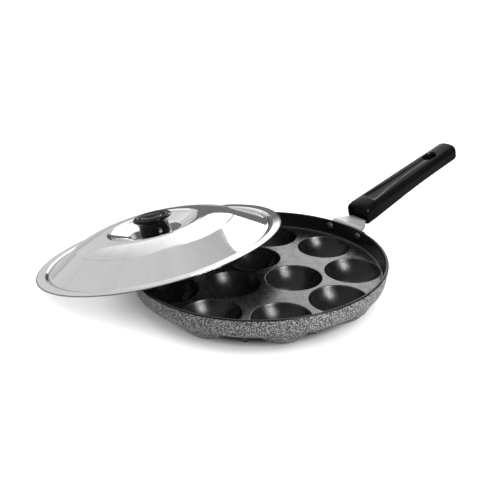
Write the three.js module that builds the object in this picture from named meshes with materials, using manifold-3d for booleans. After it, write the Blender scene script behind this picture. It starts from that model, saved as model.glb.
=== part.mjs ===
// Paniyaram pan: a cast pan with twelve round cavities, a riveted side handle
// and a loose steel lid that leans on the rim and on the table.
// Millimetres, +Z up, +X along the handle. The pan's legs stand on z = 0.

import * as THREE from 'three';
import { mergeVertices } from 'three/addons/utils/BufferGeometryUtils.js';
import Module from 'manifold-3d';

const wasm = await Module();
wasm.setup();

// ---------------------------------------------------------------- dimensions
// pan casting
const RIM_R = 115;            // outer radius of the rim
const PAN_H = 35.5;           // rim top above the table
const FLOOR_Z = 20.3;         // top of the plate between the cavities
const PLATE_T = 3.0;          // plate thickness
const RIM_INNER_R = 112;      // inner radius at the rim
const FLOOR_R = 110.15;       // where the plate turns up into the wall
const CAV_R = 25.4;           // cavity mouth radius
const CAV_DEPTH = 16.6;       // cavity depth below the plate
const CAV_WALL = 2.9;         // cavity wall thickness
const OUTER_PITCH_R = 84.62;  // ring of nine cavities
const INNER_PITCH_R = 32.39;  // ring of three cavities
const CAV_CLOCK = 1.19;       // degrees, outer ring from the handle's plane
const INNER_CLOCK = 60.02;    // degrees, inner ring
const LEG_PITCH_R = 86;
const LEG_TOP_R = 3.2;
const LEG_FOOT_R = 2.5;

// handle bracket and rivets
const BRACKET_T = 1.8;
const BRACKET_GAP = 0.35;     // between the flange and the wall
const RIVET_ANGLE = 9.68;     // degrees either side of the handle
const RIVET_Z = 30.3;
const RIVET_SHANK_R = 1.6;
const RIVET_HEAD_R = 3.6;

// handle grip, in its own frame: x along the grip, y across, z up
const GRIP_X = 129.06;        // front face centre, from the pan's axis
const GRIP_Z = 44.245;
const GRIP_RISE = 13.53;      // degrees above level
const GRIP_L = 149;
const GRIP_W_FRONT = 28;
const GRIP_W_END = 23.4;
const GRIP_T = 15;            // where it is thinnest
const GRIP_CORNER_R = 4.6;    // below
const GRIP_TOP_R = 6;         // shoulders of the crowned top
const GRIP_CROWN = 8.5;       // height of the crown over the axis
// underside along the grip: it is deepest near the front
const GRIP_LOW = [
  [0, -9.4], [1, -10.2], [2.5, -10.7], [8, -10.7], [20, -10.3], [30, -9.7], [40, -9.25], [50, -8.8],
  [60, -8.2], [75, -7.75], [90, -7.5], [110, -7.5], [130, -7.8], [149, -8.0],
];
const SOCKET_W = 21.4;
const SOCKET_LOW = -8.35;
const SOCKET_TOP = -5.85;
const SOCKET_DEPTH = 41;
const TONGUE_W = 20;
const TONGUE_LOW = -8.0;
const TONGUE_END = 37;
const SCREW_X = 25;           // screw position along the grip
const SLOT_X = 115.5;          // hang slot centre along the grip
const SLOT_L = 15;
const SLOT_W = 9.6;

// lid, in its own frame: z = 0 is the plane of the outer edge
const LID_R = 120;
const LID_T = 0.7;
const LID_POS = [-40.467, 101.420, 27.102];
const LID_AXIS = [-0.08074, 0.20126, 0.97620];
const WELL_FLOOR = 14.5;      // floor of the knob's well, top side
const KNOB_R = 18.8;
const KNOB_H = 15.2;

// ------------------------------------------------------------------ helpers
const DEG = Math.PI / 180;

function toSolid(geometry) {
  const g = geometry.clone();
  g.deleteAttribute('normal');
  g.deleteAttribute('uv');
  const m = mergeVertices(g, 1e-4);
  return new wasm.Manifold(new wasm.Mesh({
    numProp: 3,
    vertProperties: new Float32Array(m.attributes.position.array),
    triVerts: new Uint32Array(m.index.array),
  }));
}

function toGeometry(solid) {
  const mesh = solid.getMesh();
  const g = new THREE.BufferGeometry();
  g.setAttribute('position', new THREE.BufferAttribute(new Float32Array(mesh.vertProperties), 3));
  g.setIndex(new THREE.BufferAttribute(new Uint32Array(mesh.triVerts), 1));
  g.computeVertexNormals();
  return g;
}

// a lathe whose axis is +Z; points are [radius, z], counter-clockwise seen
// with radius to the right and z up
function turned(points, segments) {
  const g = new THREE.LatheGeometry(points.map(([r, z]) => new THREE.Vector2(r, z)), segments);
  g.rotateX(Math.PI / 2);
  return g;
}

function moved(geometry, x, y, z) {
  const g = geometry.clone();
  g.translate(x, y, z);
  return g;
}

function polygon(points) {
  const s = new THREE.Shape();
  points.forEach(([x, y], i) => (i ? s.lineTo(x, y) : s.moveTo(x, y)));
  s.closePath();
  return s;
}

function finish(color, roughness, metalness) {
  return new THREE.MeshStandardMaterial({ color, roughness, metalness });
}

function named(name, geometry, material) {
  const m = new THREE.Mesh(geometry, material);
  m.name = name;
  return m;
}

// ----------------------------------------------------------------- pan body
function makePan() {
  const under = FLOOR_Z - PLATE_T;
  const dish = turned([
    [0, under], [109.3, under], [111.2, under + 0.9], [112.7, under + 2.9], [113.8, 24.4],
    [114.6, 29.5], [RIM_R, PAN_H - 1.2], [RIM_R - 0.45, PAN_H - 0.3], [RIM_R - 1.5, PAN_H],
    [RIM_INNER_R + 0.45, PAN_H - 0.3], [RIM_INNER_R, PAN_H - 1.2], [111.35, FLOOR_Z + 1.6],
    [110.95, FLOOR_Z + 0.5], [FLOOR_R, FLOOR_Z], [0, FLOOR_Z],
  ], 60);

  const ri = (CAV_R * CAV_R + CAV_DEPTH * CAV_DEPTH) / (2 * CAV_DEPTH);
  const ro = ri + CAV_WALL;
  const cz = FLOOR_Z - CAV_DEPTH + ri;
  const arc = (radius, zTop, n) => {
    const a1 = Math.acos((cz - zTop) / radius);
    const pts = [];
    for (let i = 0; i <= n; i++) {
      const a = (a1 * i) / n;
      pts.push([i ? radius * Math.sin(a) : 0, cz - radius * Math.cos(a)]);
    }
    return pts;
  };
  const cup = turned([...arc(ro, under + 1.5, 4), [0, under + 1.5]], 18);
  const bowl = turned([...arc(ri, FLOOR_Z, 4), [CAV_R, FLOOR_Z + 3], [0, FLOOR_Z + 3]], 18);
  const leg = turned([[0, 0], [LEG_FOOT_R, 0], [LEG_TOP_R, under + 1], [0, under + 1]], 10);

  const places = [];
  for (let k = 0; k < 9; k++) places.push([OUTER_PITCH_R, CAV_CLOCK + 40 * k]);
  for (let k = 0; k < 3; k++) places.push([INNER_PITCH_R, INNER_CLOCK + 120 * k]);

  let pan = toSolid(dish);
  for (const [r, a] of places) {
    pan = pan.add(toSolid(moved(cup, r * Math.cos(a * DEG), r * Math.sin(a * DEG), 0)));
  }
  for (let k = 0; k < 9; k++) {
    const a = (CAV_CLOCK + 20 + 40 * k) * DEG;
    pan = pan.add(toSolid(moved(leg, LEG_PITCH_R * Math.cos(a), LEG_PITCH_R * Math.sin(a), 0)));
  }
  for (const [r, a] of places) {
    pan = pan.subtract(toSolid(moved(bowl, r * Math.cos(a * DEG), r * Math.sin(a * DEG), 0)));
  }
  for (const s of [-1, 1]) pan = pan.subtract(rivetHole(s, RIVET_SHANK_R + 0.3));
  return toGeometry(pan);
}

// a radial drill through the wall and the bracket flange
function rivetHole(side, radius) {
  const g = new THREE.CylinderGeometry(radius, radius, 24, 12);
  g.rotateZ(Math.PI / 2);
  g.translate(RIM_R, 0, RIVET_Z);
  g.rotateZ(side * RIVET_ANGLE * DEG);
  return toSolid(g);
}

// ------------------------------------------------------------------- rivets
function makeRivet(side) {
  const inner = 111.2;                                 // under the inner head
  const outer = RIM_R + BRACKET_GAP + BRACKET_T + 0.3; // under the outer head
  const g = turned([
    [0, inner - 2.3], [1.9, inner - 2.0], [3.1, inner - 1.2], [RIVET_HEAD_R, inner - 0.3],
    [RIVET_HEAD_R, inner], [RIVET_SHANK_R, inner], [RIVET_SHANK_R, outer],
    [RIVET_HEAD_R, outer], [RIVET_HEAD_R, outer + 0.3], [3.1, outer + 1.2],
    [1.9, outer + 2.0], [0, outer + 2.3],
  ], 16);
  g.rotateY(Math.PI / 2);
  g.translate(0, 0, RIVET_Z);
  g.rotateZ(side * RIVET_ANGLE * DEG);
  return g;
}

// ---------------------------------------------------------- grip local frame
const gripFrame = new THREE.Matrix4()
  .makeTranslation(GRIP_X, 0, GRIP_Z)
  .multiply(new THREE.Matrix4().makeRotationY(-GRIP_RISE * DEG));

// ------------------------------------------------------------------ bracket
function makeBracket() {
  const r0 = RIM_R + BRACKET_GAP;
  const r1 = r0 + BRACKET_T;
  const sector = (half, z0, z1) => {
    const s = new THREE.Shape();
    s.absarc(0, 0, r1, -half * DEG, half * DEG, false);
    s.absarc(0, 0, r0 - 1, half * DEG, -half * DEG, true);
    s.closePath();
    const g = new THREE.ExtrudeGeometry(s, { depth: z1 - z0, bevelEnabled: false, curveSegments: 16 });
    g.translate(0, 0, z0);
    return toSolid(g);
  };
  const ledgeTop = PAN_H + 1.3;
  const ledgeLow = ledgeTop - BRACKET_T;
  let bracket = sector(12.2, 23.5, 33.6).add(sector(9.6, 33.0, ledgeTop));

  // bent strip: ledge, riser and tongue, drawn in the handle's own plane
  const at = (u, w) => {
    const v = new THREE.Vector3(u, 0, w).applyMatrix4(gripFrame);
    return [v.x, v.z];
  };
  const top = TONGUE_LOW + BRACKET_T;
  const side = polygon([
    [112, ledgeLow], [122.65, ledgeLow], at(0, TONGUE_LOW),
    at(TONGUE_END, TONGUE_LOW), at(TONGUE_END, top), at(0, top),
    [122.5, ledgeTop], [112, ledgeTop],
  ]);
  const strip = new THREE.ExtrudeGeometry(side, { depth: 60, bevelEnabled: false });
  strip.rotateX(Math.PI / 2);
  strip.translate(0, 30, 0);

  const hw = TONGUE_W / 2;
  const end = at(TONGUE_END, 0)[0];
  const outline = polygon([
    [108, -19.3], [117.5, -19.3], [121.5, -17.4], [126.4, -13.6], [130.2, -hw], [end - 5, -hw], [end + 2, -hw + 6],
    [end + 2, hw - 6], [end - 5, hw], [130.2, hw], [126.4, 13.6], [121.5, 17.4], [117.5, 19.3], [108, 19.3],
  ]);
  const plan = new THREE.ExtrudeGeometry(outline, { depth: 60, bevelEnabled: false });
  plan.translate(0, 0, 20);
  bracket = bracket.add(toSolid(strip).intersect(toSolid(plan)));

  // inner face follows the wall
  const wall = new THREE.CylinderGeometry(r0, r0, 60, 120);
  wall.rotateX(Math.PI / 2);
  wall.translate(0, 0, 35);
  bracket = bracket.subtract(toSolid(wall));

  for (const s of [-1, 1]) bracket = bracket.subtract(rivetHole(s, RIVET_SHANK_R + 0.3));
  const hole = new THREE.CylinderGeometry(2.4, 2.4, 12, 12);
  hole.rotateX(Math.PI / 2);
  hole.translate(SCREW_X, 0, TONGUE_LOW);
  hole.applyMatrix4(gripFrame);
  bracket = bracket.subtract(toSolid(hole));
  return toGeometry(bracket);
}

// --------------------------------------------------------------------- grip
// half width and vertical reach of the section along the grip
function gripHalfWidth(x) {
  const s = x / GRIP_L;
  let w = (GRIP_W_FRONT + (GRIP_W_END - GRIP_W_FRONT) * s) / 2;
  const tail = GRIP_L - x;
  if (tail < 9) w *= Math.sqrt(1 - 0.62 * (1 - tail / 9) ** 2);
  return w;
}

function gripEndScale(x) {
  const tail = GRIP_L - x;
  return tail < 5 ? Math.sqrt(1 - 0.5 * (1 - tail / 5) ** 2) : 1;
}

function gripLow(x) {
  const k = Math.max(1, GRIP_LOW.findIndex(([u]) => u >= x - 1e-6));
  const [u0, w0] = GRIP_LOW[k - 1];
  const [u1, w1] = GRIP_LOW[k];
  return w0 + ((w1 - w0) * (x - u0)) / (u1 - u0);
}

// thumb scoop on top: wide in front, a narrow groove from there to the hang slot
const SCOOP = [
  // along, half width, depth
  [17, 8.6, 2.6], [24, 8.6, 2.6], [32, 7.5, 2.4], [42, 6.2, 2.1], [55, 5.0, 1.7], [75, 3.8, 1.3], [95, 3.5, 1.1],
  [107, 3.8, 1.0], [118, 3.8, 0.9], [126, 3.8, 0],
];

function scoop(x, a) {
  if (x <= SCOOP[0][0] || x >= SCOOP[SCOOP.length - 1][0]) return 0;
  const k = SCOOP.findIndex(([u]) => u >= x);
  const t = (x - SCOOP[k - 1][0]) / (SCOOP[k][0] - SCOOP[k - 1][0]);
  const half = THREE.MathUtils.lerp(SCOOP[k - 1][1], SCOOP[k][1], t);
  const depth = THREE.MathUtils.lerp(SCOOP[k - 1][2], SCOOP[k][2], t);
  return depth * THREE.MathUtils.smoothstep(x, 17, 23) * Math.max(0, 1 - (a / half) ** 2) ** 0.7;
}

function makeGrip() {
  const c = GRIP_CORNER_R;
  const hw = GRIP_W_FRONT / 2;
  const ht = GRIP_T / 2;
  const ring = [];
  const corner = (cx, cy, r, a0, a1) => {
    for (let k = 0; k <= 3; k++) {
      const a = (a0 + ((a1 - a0) * k) / 3) * DEG;
      ring.push([cx + r * Math.cos(a), cy + r * Math.sin(a)]);
    }
  };
  // the crown is an arc that meets both shoulders without a corner
  const sx = hw - GRIP_TOP_R;
  const crown = sx / Math.cos(80 * DEG) + GRIP_TOP_R;
  const sy = GRIP_CROWN - crown + sx * Math.tan(80 * DEG);
  corner(sx, sy, GRIP_TOP_R, 0, 80);
  for (const y of [6, 3, 0, -3, -6]) ring.push([y, GRIP_CROWN - crown + Math.sqrt(crown ** 2 - y ** 2)]);
  corner(-sx, sy, GRIP_TOP_R, 100, 180);
  corner(-hw + c, -ht + c, c, 180, 270);
  corner(hw - c, -ht + c, c, 270, 360);

  const stations = [
    0, 1, 2.5, 8, 14, 20, 26, 34, 42, 50, 58, 66, 74, 82, 90, 98, 106, 114, 122, 130, 137, 141.5, 144.5, 147, GRIP_L,
  ];
  const steps = stations.length - 1;
  const body = new THREE.ExtrudeGeometry(polygon(ring), { depth: GRIP_L, steps, bevelEnabled: false });
  // section plane to (across, up), extrusion to the grip's length
  const p = body.attributes.position;
  for (let i = 0; i < p.count; i++) {
    const a = p.getX(i);
    const b = p.getY(i);
    const x = stations[Math.round((p.getZ(i) / GRIP_L) * steps)];
    const y = (a / hw) * gripHalfWidth(x);
    let z = (b < 0 ? b + ht + gripLow(x) : b) * gripEndScale(x);
    if (b > 0 && Math.abs(a) < 6.01) z -= scoop(x, a);
    p.setXYZ(i, x, y, z);
  }
  // (across, up, along) becomes (along, across, up), which keeps the faces out
  let grip = toSolid(body);

  const socket = new THREE.BoxGeometry(SOCKET_DEPTH + 5, SOCKET_W, SOCKET_TOP - SOCKET_LOW);
  socket.translate((SOCKET_DEPTH - 5) / 2, 0, (SOCKET_TOP + SOCKET_LOW) / 2);
  grip = grip.subtract(toSolid(socket));

  const slot = new THREE.Shape();
  const e = (SLOT_L - SLOT_W) / 2;
  slot.absarc(e, 0, SLOT_W / 2, -Math.PI / 2, Math.PI / 2, false);
  slot.absarc(-e, 0, SLOT_W / 2, Math.PI / 2, (3 * Math.PI) / 2, false);
  slot.closePath();
  const slotCut = new THREE.ExtrudeGeometry(slot, { depth: 30, bevelEnabled: false, curveSegments: 8 });
  slotCut.translate(SLOT_X, 0, -15);
  grip = grip.subtract(toSolid(slotCut));

  // pocket for the nut over the tongue, and the screw's counterbore below it
  const pocket = new THREE.BoxGeometry(7.8, 7.8, 3.8);
  pocket.translate(SCREW_X, 0, SOCKET_TOP + 1.65);
  grip = grip.subtract(toSolid(pocket));
  const drill = turned([[0, -16], [4.5, -16], [4.5, SOCKET_LOW + 0.2], [0, SOCKET_LOW + 0.2]], 16);
  drill.translate(SCREW_X, 0, 0);
  grip = grip.subtract(toSolid(drill));
  return toGeometry(grip);
}

function makeHandleScrew() {
  const g = turned([
    [0, -10.5], [2.6, -10.5], [3.6, -10.0], [3.8, -9.15], [2.0, -9.15], [2.0, -2.75], [0, -2.75],
  ], 16);
  g.translate(SCREW_X, 0, 0);
  return g;
}

function makeHandleWasher() {
  const g = turned([[2.3, -9.0], [4.2, -9.0], [4.2, -8.3], [2.3, -8.3], [2.3, -9.0]], 16);
  g.translate(SCREW_X, 0, 0);
  return g;
}

function makeHandleNut() {
  const low = TONGUE_LOW + BRACKET_T + 0.3;
  const block = new THREE.BoxGeometry(7, 7, 3.2);
  block.translate(SCREW_X, 0, low + 1.6);
  const bore = new THREE.CylinderGeometry(2.15, 2.15, 10, 16);
  bore.rotateX(Math.PI / 2);
  bore.translate(SCREW_X, 0, low + 1.6);
  return toGeometry(toSolid(block).subtract(toSolid(bore)));
}

// ---------------------------------------------------------------------- lid
function makeLidShell() {
  const top = [
    [2.4, WELL_FLOOR], [24.6, WELL_FLOOR], [27.2, 15.0], [39.8, 19.6], [42.4, 20.9], [46, 21.5],
    [52, 21.3], [60, 20.3], [69, 18.0], [77.05, 15.33], [105.9, -0.7], [107.1, -0.95], [108.7, -0.85],
    [109.9, -0.2], [111.0, 0.35], [112.0, 0.47], [119.3, 0.33], [LID_R, -0.15],
  ];
  const n = top.length;
  const low = top.map(([r, z], i) => {
    const a = top[Math.max(0, i - 1)];
    const b = top[Math.min(n - 1, i + 1)];
    const dx = b[0] - a[0];
    const dz = b[1] - a[1];
    const l = Math.hypot(dx, dz);
    return i === 0 ? [r, z - LID_T] : [r + (dz / l) * LID_T, z - (dx / l) * LID_T];
  });
  // outer edge is cut square
  low[n - 1] = [LID_R, -0.15 - LID_T];
  const loop = [...low, ...top.slice().reverse(), low[0]];
  return turned(loop, 48);
}

function makeKnob() {
  const b = WELL_FLOOR + 0.3;
  return turned([
    [0, b + 10.4], [4.2, b + 10.4], [4.2, b], [14.9, b], [15.4, b + 0.7], [14.8, b + 2.6], [14.4, b + 5.6],
    [14.7, b + 8.4], [16.1, b + 11.0], [17.9, b + 12.3], [KNOB_R, b + 13.3], [18.6, b + 14.4],
    [17.4, b + KNOB_H], [15.6, b + KNOB_H], [13.0, b + 14.7], [0, b + 14.3],
  ], 24);
}

function makeKnobInsert() {
  const b = WELL_FLOOR + 0.45;
  return turned([[2.2, b], [3.9, b], [3.9, b + 9.9], [2.2, b + 9.9], [2.2, b]], 16);
}

function makeKnobScrew() {
  const s = WELL_FLOOR - LID_T - 1.4; // under the washer
  return turned([
    [0, s - 2.4], [2.4, s - 2.4], [3.5, s - 1.7], [3.8, s], [1.95, s], [1.95, s + 10.6], [0, s + 10.6],
  ], 16);
}

function makeKnobWasher() {
  const s = WELL_FLOOR - LID_T - 0.3;
  return turned([[2.4, s - 0.8], [6.0, s - 0.8], [6.0, s], [2.4, s], [2.4, s - 0.8]], 20);
}

// ----------------------------------------------------------------- assembly
const cast = finish(0x4b4d50, 0.55, 0.35);
const bright = finish(0xd9dadb, 0.2, 1.0);
const steel = finish(0xc4c7ca, 0.35, 1.0);
const black = finish(0x17181a, 0.42, 0.0);
const brass = finish(0xb08d4c, 0.4, 1.0);

const pan = new THREE.Group();
pan.add(named('pan_body', makePan(), cast.clone()));
pan.add(named('handle_bracket', makeBracket(), bright.clone()));
pan.add(named('bracket_rivet_1', makeRivet(1), cast.clone()));
pan.add(named('bracket_rivet_2', makeRivet(-1), cast.clone()));

const handle = new THREE.Group();
handle.applyMatrix4(gripFrame);
handle.add(named('handle_grip', makeGrip(), black.clone()));
handle.add(named('handle_screw', makeHandleScrew(), steel.clone()));
handle.add(named('handle_washer', makeHandleWasher(), steel.clone()));
handle.add(named('handle_nut', makeHandleNut(), steel.clone()));
pan.add(handle);

const lid = new THREE.Group();
lid.position.set(...LID_POS);
lid.quaternion.setFromUnitVectors(new THREE.Vector3(0, 0, 1), new THREE.Vector3(...LID_AXIS).normalize());
lid.add(named('lid_shell', makeLidShell(), bright.clone()));
lid.add(named('lid_knob', makeKnob(), black.clone()));
lid.add(named('knob_insert', makeKnobInsert(), brass.clone()));
lid.add(named('knob_screw', makeKnobScrew(), steel.clone()));
lid.add(named('knob_washer', makeKnobWasher(), steel.clone()));

// the origin is below the middle of the whole object, on the table
const object = new THREE.Group();
object.add(pan, lid);
object.updateMatrixWorld(true);
const box = new THREE.Box3().setFromObject(object, true);
const part = new THREE.Group();
object.position.set(-(box.min.x + box.max.x) / 2, -(box.min.y + box.max.y) / 2, -box.min.z);
part.add(object);
part.updateMatrixWorld(true);

export default part;
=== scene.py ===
import math

import bmesh
import bpy
import numpy as np
from mathutils import Matrix, Vector
from mathutils.geometry import delaunay_2d_cdt


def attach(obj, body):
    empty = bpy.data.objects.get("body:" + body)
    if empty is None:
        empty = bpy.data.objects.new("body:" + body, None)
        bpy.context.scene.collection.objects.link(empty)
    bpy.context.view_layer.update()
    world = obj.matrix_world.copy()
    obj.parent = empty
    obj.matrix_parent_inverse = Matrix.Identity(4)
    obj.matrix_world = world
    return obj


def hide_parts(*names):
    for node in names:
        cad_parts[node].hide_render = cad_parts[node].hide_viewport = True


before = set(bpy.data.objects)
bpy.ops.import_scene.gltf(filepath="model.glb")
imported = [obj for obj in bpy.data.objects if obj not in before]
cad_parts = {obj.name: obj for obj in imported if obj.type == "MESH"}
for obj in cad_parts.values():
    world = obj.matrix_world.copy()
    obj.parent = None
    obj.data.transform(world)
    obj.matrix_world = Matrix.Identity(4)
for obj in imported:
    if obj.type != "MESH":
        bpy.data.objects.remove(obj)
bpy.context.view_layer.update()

MM = 0.001
DEG = math.pi / 180

# Pieces are drawn in millimetres in the frame of the pan, the grip or the lid,
# and these matrices put those frames where the CAD has them.
PAN = Matrix.Translation(Vector((-57.594648, -51.96509171, 0.0)) * MM)
GRIP = (
    PAN
    @ Matrix.Translation(Vector((129.06, 0.0, 44.245)) * MM)
    @ Matrix.Rotation(-13.53 * DEG, 4, "Y")
)
LID = (
    PAN
    @ Matrix.Translation(Vector((-40.467, 101.420, 27.102)) * MM)
    @ Vector((0, 0, 1))
    .rotation_difference(Vector((-0.08074, 0.20126, 0.97620)).normalized())
    .to_matrix()
    .to_4x4()
)


# ------------------------------------------------------------------ mesh helpers
def smoothstep(x, a, b):
    t = np.clip((np.asarray(x, float) - a) / (b - a), 0, 1)
    return t * t * (3 - 2 * t)


def rounded(points, seg=6):
    """A polyline of (x, y) or (x, y, fillet radius), with its corners rounded."""
    out = []
    for i, p in enumerate(points):
        r = p[2] if len(p) > 2 else 0
        b = np.array(p[:2], float)
        if r <= 0 or i in (0, len(points) - 1):
            out.append(tuple(b))
            continue
        u = np.array(points[i - 1][:2], float) - b
        v = np.array(points[i + 1][:2], float) - b
        lu, lv = np.linalg.norm(u), np.linalg.norm(v)
        u, v = u / lu, v / lv
        ang = math.acos(max(-1.0, min(1.0, float(u @ v))))
        if ang > math.pi - 1e-3:
            out.append(tuple(b))
            continue
        t = min(r / math.tan(ang / 2), 0.49 * lu, 0.49 * lv)
        r = t * math.tan(ang / 2)
        bis = (u + v) / np.linalg.norm(u + v)
        c = b + bis * (r / math.sin(ang / 2))
        s, e = b + u * t - c, b + v * t - c
        a0, a1 = math.atan2(s[1], s[0]), math.atan2(e[1], e[0])
        da = (a1 - a0 + math.pi) % (2 * math.pi) - math.pi
        for k in range(seg + 1):
            a = a0 + da * k / seg
            out.append((c[0] + r * math.cos(a), c[1] + r * math.sin(a)))
    return out


def soft(points, step, sigma):
    """The polyline resampled at a fixed step and rounded off by a Gaussian of that many millimetres."""
    p = np.array(points, float)
    s = np.r_[0, np.cumsum(np.linalg.norm(np.diff(p, axis=0), axis=1))]
    n = int(round(s[-1] / step)) + 1
    t = np.linspace(0, s[-1], n)
    q = np.c_[np.interp(t, s, p[:, 0]), np.interp(t, s, p[:, 1])]
    k = int(3 * sigma / step) + 1
    w = np.exp(-0.5 * (np.arange(-k, k + 1) * step / sigma) ** 2)
    w /= w.sum()
    out = []
    for c in range(2):
        a = q[:, c]
        head = 2 * a[0] - a[k:0:-1]
        tail = 2 * a[-1] - a[-2 : -k - 2 : -1]
        out.append(np.convolve(np.r_[head, a, tail], w, "valid"))
    return np.array(out).T


def thin_out(points, angle, longest):
    """Drops the points of a fine polyline that neither bend it by more than angle nor are longest apart."""
    keep = [0]
    p = np.asarray(points, float)
    d = np.diff(p, axis=0)
    h = np.unwrap(np.arctan2(d[:, 1], d[:, 0]))
    for i in range(1, len(p) - 1):
        j = keep[-1]
        if abs(h[i] - h[j]) > angle * DEG or np.linalg.norm(p[i] - p[j]) > longest:
            keep.append(i)
    return p[keep + [len(p) - 1]]


def lathe(profile, n, closed=False):
    """Vertices, faces and each face's profile segment. The profile is (radius, z); going up on the outside gives faces out."""
    verts, rings = [], []
    for r, z in profile:
        if r < 1e-6:
            rings.append([len(verts)] * n)
            verts.append((0.0, 0.0, z))
        else:
            rings.append(list(range(len(verts), len(verts) + n)))
            for j in range(n):
                a = 2 * math.pi * j / n
                verts.append((r * math.cos(a), r * math.sin(a), z))
    faces, seg = [], []
    m = len(rings)
    for i in range(m if closed else m - 1):
        a, b = rings[i], rings[(i + 1) % m]
        for j in range(n):
            k = (j + 1) % n
            f = []
            for v in (a[j], a[k], b[k], b[j]):
                if v not in f:
                    f.append(v)
            if len(f) > 2:
                faces.append(f)
                seg.append(i)
    return verts, faces, seg


def piece(name, verts, faces, materials, matrix, ids=None):
    me = bpy.data.meshes.new(name)
    me.from_pydata((np.asarray(verts, float) * MM).tolist(), [], [list(f) for f in faces])
    for m in materials:
        me.materials.append(m)
    if ids is not None:
        me.polygons.foreach_set("material_index", np.asarray(ids, np.int32))
    ob = bpy.data.objects.new(name, me)
    bpy.context.scene.collection.objects.link(ob)
    ob.matrix_world = matrix
    bm = bmesh.new()
    bm.from_mesh(me)
    bmesh.ops.remove_doubles(bm, verts=bm.verts, dist=1e-7)
    bmesh.ops.recalc_face_normals(bm, faces=bm.faces)
    bm.to_mesh(me)
    bm.free()
    return ob


def bake(ob):
    """Applies the object's modifiers."""
    bpy.context.view_layer.update()
    dg = bpy.context.evaluated_depsgraph_get()
    me = bpy.data.meshes.new_from_object(ob.evaluated_get(dg), preserve_all_data_layers=True, depsgraph=dg)
    old = ob.data
    ob.modifiers.clear()
    ob.data = me
    me.name = ob.name
    bpy.data.meshes.remove(old)
    return ob


def cut(ob, cutters, operation="DIFFERENCE", solver="EXACT"):
    """Cuts or joins the solids in cutters, which are used up."""
    for c in cutters:
        m = ob.modifiers.new("cut", "BOOLEAN")
        m.operation = operation
        m.solver = solver
        m.object = c
    bake(ob)
    for c in cutters:
        bpy.data.objects.remove(c)
    return ob


def bevel(ob, width, segments=2, angle=40):
    m = ob.modifiers.new("bevel", "BEVEL")
    m.width = width * MM
    m.segments = segments
    m.limit_method = "ANGLE"
    m.angle_limit = angle * DEG
    m.use_clamp_overlap = True
    return bake(ob)


def shade(ob, angle=38):
    me = ob.data
    me.polygons.foreach_set("use_smooth", [True] * len(me.polygons))
    me.set_sharp_from_angle(angle=angle * DEG)
    w = ob.modifiers.new("normals", "WEIGHTED_NORMAL")
    w.mode = "FACE_AREA"
    w.keep_sharp = True
    return ob


def turned(name, profile, n, materials, matrix, closed=False, ids=None, angle=38):
    v, f, s = lathe(profile, n, closed)
    ob = piece(name, v, f, materials, matrix, None if ids is None else [ids(i) for i in s])
    return shade(ob, angle)


def place(ob, body, slot, *nodes):
    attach(ob, body)
    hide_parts(*nodes)
    return ob


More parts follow.
